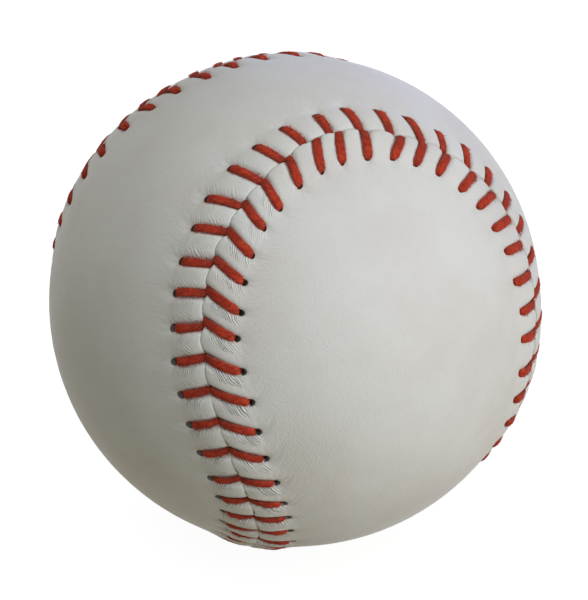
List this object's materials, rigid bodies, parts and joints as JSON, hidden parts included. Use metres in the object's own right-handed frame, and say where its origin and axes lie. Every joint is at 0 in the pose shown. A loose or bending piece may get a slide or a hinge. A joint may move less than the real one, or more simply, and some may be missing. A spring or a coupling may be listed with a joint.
{
  "type": "baseball",
  "caption": "Baseball with a white figure-eight leather cover, raised red laced seam, wool windings and a cushioned cork centre.",
  "frame": {"origin": "centre of the ball", "axes": "+Z through the middle of the upper panel's neck, whose lobes face -X and +X; the lower panel's neck faces -Z and its lobes face -Y and +Y"},
  "size_m": [0.0746, 0.0746, 0.0746],
  "materials": {
    "leather": "smooth white leather with a fine grain and a soft sheen",
    "thread": "red waxed cotton thread, plied, slightly fuzzy",
    "cork": "matt cork composition with dark granules",
    "black_rubber": "moulded black rubber, matt",
    "gum_rubber": "soft red gum rubber, matt",
    "red_rubber": "moulded dark red rubber, matt",
    "grey_wool": "tightly wound grey wool yarn",
    "white_wool": "tightly wound white wool yarn",
    "cotton": "fine cotton yarn under a coat of brown cement"
  },
  "bodies": {
    "root": {"cork_centre": "cork", "half_shell_upper": "black_rubber", "half_shell_lower": "black_rubber", "shell_washer": "gum_rubber", "outer_rubber_shell": "red_rubber", "first_winding": "grey_wool", "second_winding": "white_wool", "third_winding": "grey_wool", "finish_winding": "cotton", "cover_panel_upper": "leather", "cover_panel_lower": "leather", "thread_first_needle": "thread", "thread_second_needle": "thread"}
  },
  "joints": []
}
